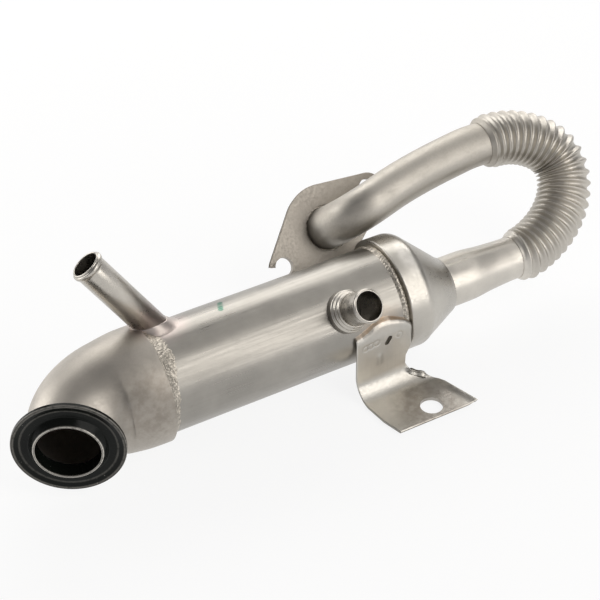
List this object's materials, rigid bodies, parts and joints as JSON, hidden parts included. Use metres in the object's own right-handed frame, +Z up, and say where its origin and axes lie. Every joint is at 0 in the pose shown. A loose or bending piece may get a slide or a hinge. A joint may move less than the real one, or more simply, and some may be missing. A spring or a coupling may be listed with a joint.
{
  "type": "exhaust gas cooler pipe",
  "caption": "Stainless exhaust gas cooler: round water-jacketed casing with an inlet elbow, coolant ports, a bracket and a flexible return pipe to a bolted plate.",
  "frame": {"origin": "centre of the bracket's bolt hole, on the top face of the foot", "axes": "+X along the casing from the inlet elbow to the bellows, +Z up and square to the bracket's foot, -Y the side the bracket and the short nipple are on"},
  "size_m": [0.3642, 0.1336, 0.1065],
  "materials": {
    "flange_dark": "dark, lightly polished on the rims",
    "elbow_steel": "satin with a warm heat tint",
    "casing_steel": "satin, drawn lengthwise",
    "cone_steel": "satin",
    "neck_steel": "satin",
    "port_steel": "satin",
    "weld_metal": "rough weld bead",
    "braze_metal": "braze with a pink heat tint",
    "bracket_steel": "satin sheet",
    "bellows_steel": "satin, thin wall",
    "pipe_steel": "satin",
    "plate_steel": "satin with a warm heat tint",
    "core_steel": "dull, not finished"
  },
  "bodies": {
    "root": {"inlet_flange": "flange_dark", "inlet_elbow": "elbow_steel", "elbow_weld": "weld_metal", "casing": "casing_steel", "cone_weld": "weld_metal", "outlet_cone": "cone_steel", "neck_tube": "neck_steel", "long_coolant_pipe": "port_steel", "pipe_braze": "braze_metal", "short_nipple": "port_steel", "nipple_boss": "port_steel", "bracket": "bracket_steel", "lower_cuff": "neck_steel", "bellows": "bellows_steel", "upper_cuff": "pipe_steel", "gas_pipe": "pipe_steel", "outlet_plate": "plate_steel", "plate_weld": "weld_metal", "inlet_tube_sheet": "core_steel", "outlet_tube_sheet": "core_steel", "baffle_1": "core_steel", "baffle_2": "core_steel", "baffle_3": "core_steel", "baffle_4": "core_steel", "gas_tube_01": "core_steel", "gas_tube_02": "core_steel", "gas_tube_03": "core_steel", "gas_tube_04": "core_steel", "gas_tube_05": "core_steel", "gas_tube_06": "core_steel", "gas_tube_07": "core_steel", "gas_tube_08": "core_steel", "gas_tube_09": "core_steel", "gas_tube_10": "core_steel", "gas_tube_11": "core_steel", "gas_tube_12": "core_steel", "gas_tube_13": "core_steel", "gas_tube_14": "core_steel", "gas_tube_15": "core_steel", "gas_tube_16": "core_steel", "gas_tube_17": "core_steel", "gas_tube_18": "core_steel", "gas_tube_19": "core_steel"}
  },
  "joints": []
}
